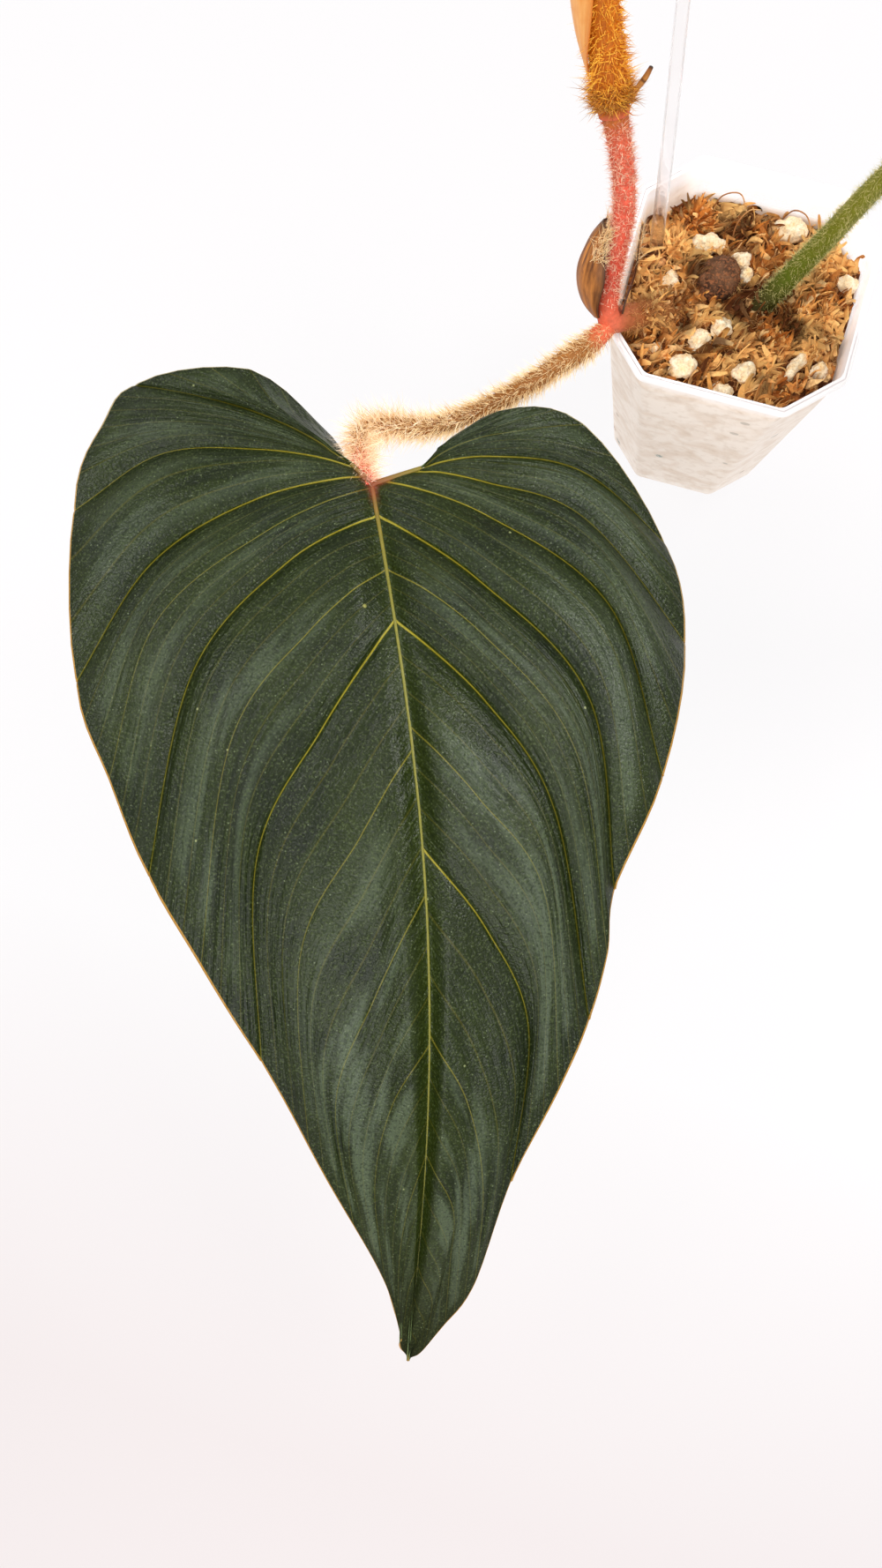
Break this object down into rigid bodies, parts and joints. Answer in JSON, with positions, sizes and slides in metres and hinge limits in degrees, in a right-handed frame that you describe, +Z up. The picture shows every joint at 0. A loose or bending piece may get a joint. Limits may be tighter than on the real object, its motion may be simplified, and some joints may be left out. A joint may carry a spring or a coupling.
{
  "type": "potted philodendron squamicaule",
  "caption": "Climbing aroid house plant with heart-shaped leaves on hairy petioles, a young shoot and a clear stake, in a clear eight-sided nursery pot of husk mix.",
  "frame": {"origin": "middle of the pot's flat underside", "axes": "+Z up; the pot's flat sides face along X and Y; the big leaf hangs out towards -Y and -X, the second leaf towards +X"},
  "size_m": [0.4297, 0.4649, 0.2933],
  "materials": {
    "clear_pot": "milky clear thin moulded plastic",
    "soil": "damp coconut husk fibre and chips",
    "clear_stake": "clear smooth rod",
    "stem": "salmon pink young stem with short pale hairs, brown and fibrous where old",
    "root": "matt brown root skin",
    "dry_sheath": "dry papery brown sheath with dark streaks",
    "petiole": "brown stalk covered in long tan hairs",
    "green_petiole": "olive green stalk covered in short pale hairs",
    "blade": "dark green pebbled leaf with sunken yellow green veins and a satin sheen",
    "new_petiole": "orange brown bristly young stalk",
    "new_sheath": "smooth pale orange sheath",
    "rolled_leaf": "bronze green rolled young leaf",
    "perlite": "rough cream porous grit",
    "husk": "torn orange brown husk fibre",
    "bark": "dark fibrous bark"
  },
  "bodies": {
    "root": {"pot": "clear_pot", "soil_mix": "soil", "stake": "clear_stake", "stem": "stem", "root_1": "root", "root_2": "root", "root_3": "root", "root_4": "root", "root_5": "root", "aerial_root": "root", "dry_sheath": "dry_sheath", "dry_sheath_strap": "dry_sheath", "petiole": "petiole", "leaf_blade": "blade", "second_petiole": "green_petiole", "second_leaf_blade": "blade", "new_petiole": "new_petiole", "new_sheath": "new_sheath", "rolled_leaf": "rolled_leaf", "perlite_1": "perlite", "perlite_2": "perlite", "perlite_3": "perlite", "perlite_4": "perlite", "perlite_5": "perlite", "perlite_6": "perlite", "perlite_7": "perlite", "perlite_8": "perlite", "perlite_9": "perlite", "perlite_10": "perlite", "perlite_11": "perlite", "perlite_12": "perlite", "perlite_13": "perlite", "perlite_14": "perlite", "husk_1": "husk", "husk_2": "husk", "husk_3": "husk", "husk_4": "husk", "husk_5": "husk", "husk_6": "husk", "husk_7": "husk", "husk_8": "husk", "bark_chunk": "bark"}
  },
  "joints": []
}
